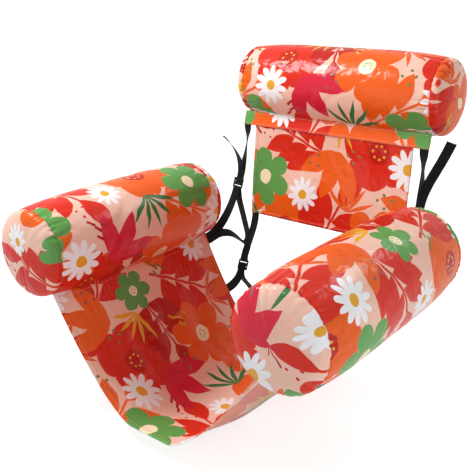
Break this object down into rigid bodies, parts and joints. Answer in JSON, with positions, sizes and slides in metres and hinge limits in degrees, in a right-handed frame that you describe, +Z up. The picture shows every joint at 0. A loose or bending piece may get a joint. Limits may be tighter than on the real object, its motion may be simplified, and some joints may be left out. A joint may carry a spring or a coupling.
{
  "type": "inflatable pool chair",
  "caption": "Inflatable pool chair: cloth sling seat between air rolls, with a roll and a hanging panel as its back, tied on by webbing with ladder-lock buckles.",
  "frame": {"origin": "on the floor under the middle of the chair's outline", "axes": "+Z up, +Y towards the backrest, +X towards the sitter's left arm roll"},
  "size_m": [0.944, 0.959, 0.8319],
  "materials": {
    "printed_cloth": "coated polyester, floral print in red, orange, green and white on pale pink, slightly glossy",
    "bladder_film": "clear welded film",
    "valve_vinyl": "soft white vinyl",
    "webbing": "woven black webbing",
    "buckle_plastic": "moulded black plastic"
  },
  "bodies": {
    "seat": {"seat_sling": "printed_cloth", "left_upper_loop": "webbing", "right_upper_loop": "webbing"},
    "left_arm": {"left_arm_sleeve": "printed_cloth", "left_arm_front_disc": "printed_cloth", "left_arm_back_disc": "printed_cloth", "left_arm_chamber": "bladder_film", "left_arm_valve": "valve_vinyl"},
    "right_arm": {"right_arm_sleeve": "printed_cloth", "right_arm_front_disc": "printed_cloth", "right_arm_back_disc": "printed_cloth", "right_arm_chamber": "bladder_film", "right_arm_valve": "valve_vinyl"},
    "backrest": {"back_panel": "printed_cloth", "back_roll_skirt": "printed_cloth", "left_upper_strap": "webbing", "left_upper_buckle": "buckle_plastic", "left_lower_strap": "webbing", "left_lower_buckle": "buckle_plastic", "left_lower_webbing": "webbing", "right_upper_strap": "webbing", "right_upper_buckle": "buckle_plastic", "right_lower_strap": "webbing", "right_lower_buckle": "buckle_plastic", "right_lower_webbing": "webbing"},
    "back_roll": {"back_roll_sleeve": "printed_cloth", "back_roll_left_disc": "printed_cloth", "back_roll_right_disc": "printed_cloth", "back_roll_chamber": "bladder_film", "back_roll_valve": "valve_vinyl"},
    "left_arm_plug": {"left_arm_plug": "valve_vinyl"},
    "right_arm_plug": {"right_arm_plug": "valve_vinyl"},
    "back_roll_plug": {"back_roll_plug": "valve_vinyl"}
  },
  "joints": [
    {"name": "left_arm_fold", "type": "hinge", "parent": "seat", "child": "left_arm", "pos_m": [0.29615, -0.1645, 0.297], "axis": [0, 1, 0], "range_deg": [-75, 0]},
    {"name": "right_arm_fold", "type": "hinge", "parent": "seat", "child": "right_arm", "pos_m": [-0.29615, -0.1645, 0.297], "axis": [0, -1, 0], "range_deg": [-75, 0]},
    {"name": "backrest_recline", "type": "hinge", "parent": "seat", "child": "backrest", "pos_m": [0, 0.113, 0.1501], "axis": [1, 0, 0], "range_deg": [-30, 15], "deforming": ["left_upper_loop", "right_upper_loop", "left_lower_webbing", "right_lower_webbing"]},
    {"name": "back_roll_fold", "type": "hinge", "parent": "backrest", "child": "back_roll", "pos_m": [0, 0.3016, 0.6407], "axis": [-1, 0, 0], "range_deg": [-100, 0]},
    {"name": "left_arm_plug_hinge", "type": "hinge", "parent": "left_arm", "child": "left_arm_plug", "pos_m": [0.355, 0.1526, 0.4114], "axis": [1, 0, 0], "range_deg": [0, 100]},
    {"name": "right_arm_plug_hinge", "type": "hinge", "parent": "right_arm", "child": "right_arm_plug", "pos_m": [-0.355, 0.1526, 0.4114], "axis": [1, 0, 0], "range_deg": [0, 100]},
    {"name": "back_roll_plug_hinge", "type": "hinge", "parent": "back_roll", "child": "back_roll_plug", "pos_m": [-0.3241, 0.3715, 0.7364], "axis": [0, 1, 0], "range_deg": [0, 100]}
  ]
}
